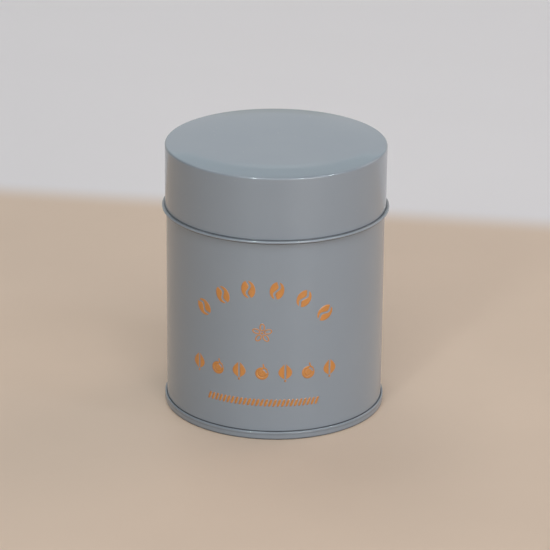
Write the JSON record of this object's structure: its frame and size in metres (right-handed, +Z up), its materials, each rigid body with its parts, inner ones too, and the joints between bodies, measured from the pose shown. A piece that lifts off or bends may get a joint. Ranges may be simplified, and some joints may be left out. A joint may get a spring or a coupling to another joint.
{
  "type": "coffee tin",
  "caption": "Round slip-lid tinplate canister for coffee: drawn cap lid with a rolled rim, lift-out inner lid with a knob, welded wall and seamed bottom end.",
  "frame": {"origin": "centre of the seam ring that the tin stands on, in the standing plane", "axes": "+Z up along the tin's axis, -Y out of the printed front, +Y out of the welded side seam, +X to the right of a person who faces the front"},
  "size_m": [0.0945, 0.0946, 0.1145],
  "materials": {
    "enamel": "semi-gloss",
    "enamel_wall": "semi-gloss",
    "enamel_end": "semi-gloss",
    "tinplate": "satin",
    "knob_metal": "polished",
    "rivet_metal": "satin",
    "print_ink": "satin",
    "compound": "matte"
  },
  "bodies": {
    "tin": {"body_wall": "enamel_wall", "bottom_end": "enamel_end", "seam_compound": "compound"},
    "lid": {"lid": "enamel"},
    "inner_lid": {"inner_lid_pan": "tinplate", "knob_shell": "knob_metal", "knob_washer": "rivet_metal", "knob_rivet": "rivet_metal"}
  },
  "joints": [
    {"name": "lid_lift", "type": "slide", "parent": "tin", "child": "lid", "axis": [0, 0, 1], "range_m": [0, 0.12]},
    {"name": "inner_lid_lift", "type": "slide", "parent": "tin", "child": "inner_lid", "axis": [0, 0, 1], "range_m": [0, 0.06]}
  ],
  "couplings": [
    {"joint": "inner_lid_lift", "follows": "lid_lift", "ratio": 0.5}
  ]
}
